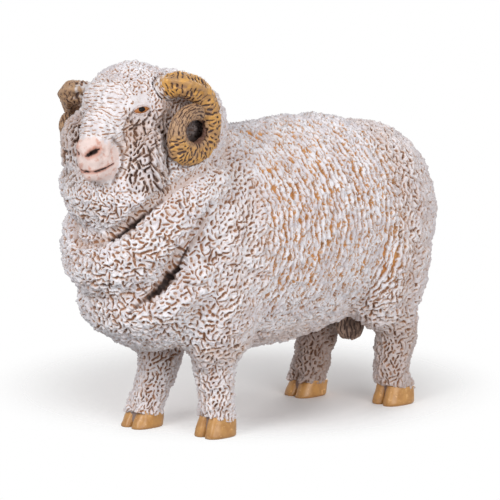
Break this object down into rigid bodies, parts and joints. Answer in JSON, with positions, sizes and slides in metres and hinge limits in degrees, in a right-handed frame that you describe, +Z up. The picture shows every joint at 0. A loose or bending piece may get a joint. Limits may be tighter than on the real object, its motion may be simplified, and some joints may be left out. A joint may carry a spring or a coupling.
{
  "type": "toy farm animal figure",
  "caption": "Rigid moulded vinyl figure of a standing merino ram with coiled horns and heavy neck folds, for pretend farm play.",
  "frame": {"origin": "bottom centre of the figure's bounding box, on the plane the hooves stand on", "axes": "+Z up, the ram faces -Y, its own left side is +X"},
  "size_m": [0.0406, 0.1038, 0.0834],
  "materials": {
    "fleece": "moulded vinyl, matt off-white hand paint with a brown wash in the wool grooves",
    "horn": "moulded vinyl, yellow-ochre hand paint with dark brown ridges",
    "ear": "moulded vinyl, pale pinkish hand paint with dark brown grooves",
    "leg": "moulded vinyl, matt off-white hand paint, with satin caramel hooves",
    "scrotum": "moulded vinyl, grey-brown hand paint"
  },
  "bodies": {
    "root": {"torso": "fleece", "neck_fold_collar": "fleece", "head": "fleece", "horn_left": "horn", "horn_right": "horn", "ear_left": "ear", "ear_right": "ear", "foreleg_left": "leg", "foreleg_right": "leg", "hindleg_left": "leg", "hindleg_right": "leg", "tail": "fleece", "scrotum": "scrotum"}
  },
  "joints": []
}
